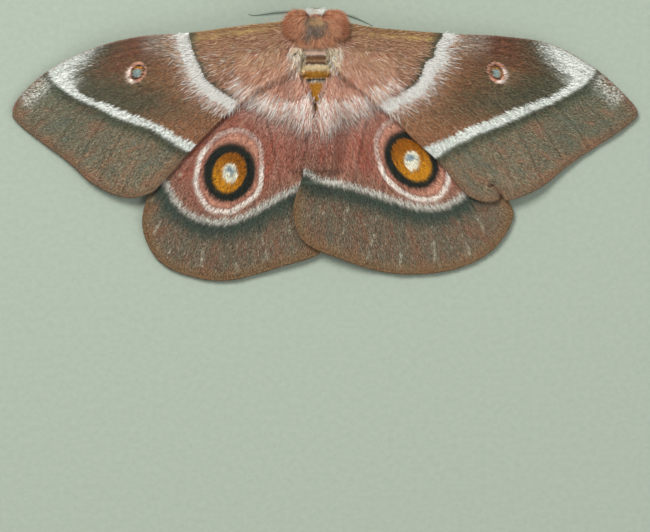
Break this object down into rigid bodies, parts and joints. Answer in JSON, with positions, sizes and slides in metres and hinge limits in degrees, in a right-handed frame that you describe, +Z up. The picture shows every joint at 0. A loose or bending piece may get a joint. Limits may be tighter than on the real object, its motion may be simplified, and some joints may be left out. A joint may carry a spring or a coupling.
{
  "type": "mopane moth",
  "caption": "Life-size still model of a resting mopane moth, with its wings spread flat, furry body, short feelers and legs.",
  "frame": {"origin": "on the floor under the centre of the moth's outline", "axes": "+Y towards the head, +X to the moth's right, +Z up"},
  "size_m": [0.12, 0.0524, 0.0118],
  "materials": {
    "thorax_hair": "dense rust-brown hair",
    "abdomen_hair": "banded cream, orange and black hair",
    "forewing_scales": "matte scales with two pale lines and a small eyespot",
    "hindwing_scales": "matte scales with a large ringed eyespot",
    "antenna": "dark chitin",
    "eye": "glossy dark compound eye",
    "leg_hair": "brown hair"
  },
  "bodies": {
    "root": {"abdomen": "abdomen_hair", "antenna_left": "antenna", "antenna_right": "antenna", "eye_left": "eye", "eye_right": "eye", "fore_leg_left": "leg_hair", "fore_leg_right": "leg_hair", "forewing_left": "forewing_scales", "forewing_right": "forewing_scales", "head": "thorax_hair", "hind_leg_left": "leg_hair", "hind_leg_right": "leg_hair", "hindwing_left": "hindwing_scales", "hindwing_right": "hindwing_scales", "mid_leg_left": "leg_hair", "mid_leg_right": "leg_hair", "thorax": "thorax_hair"}
  },
  "joints": []
}
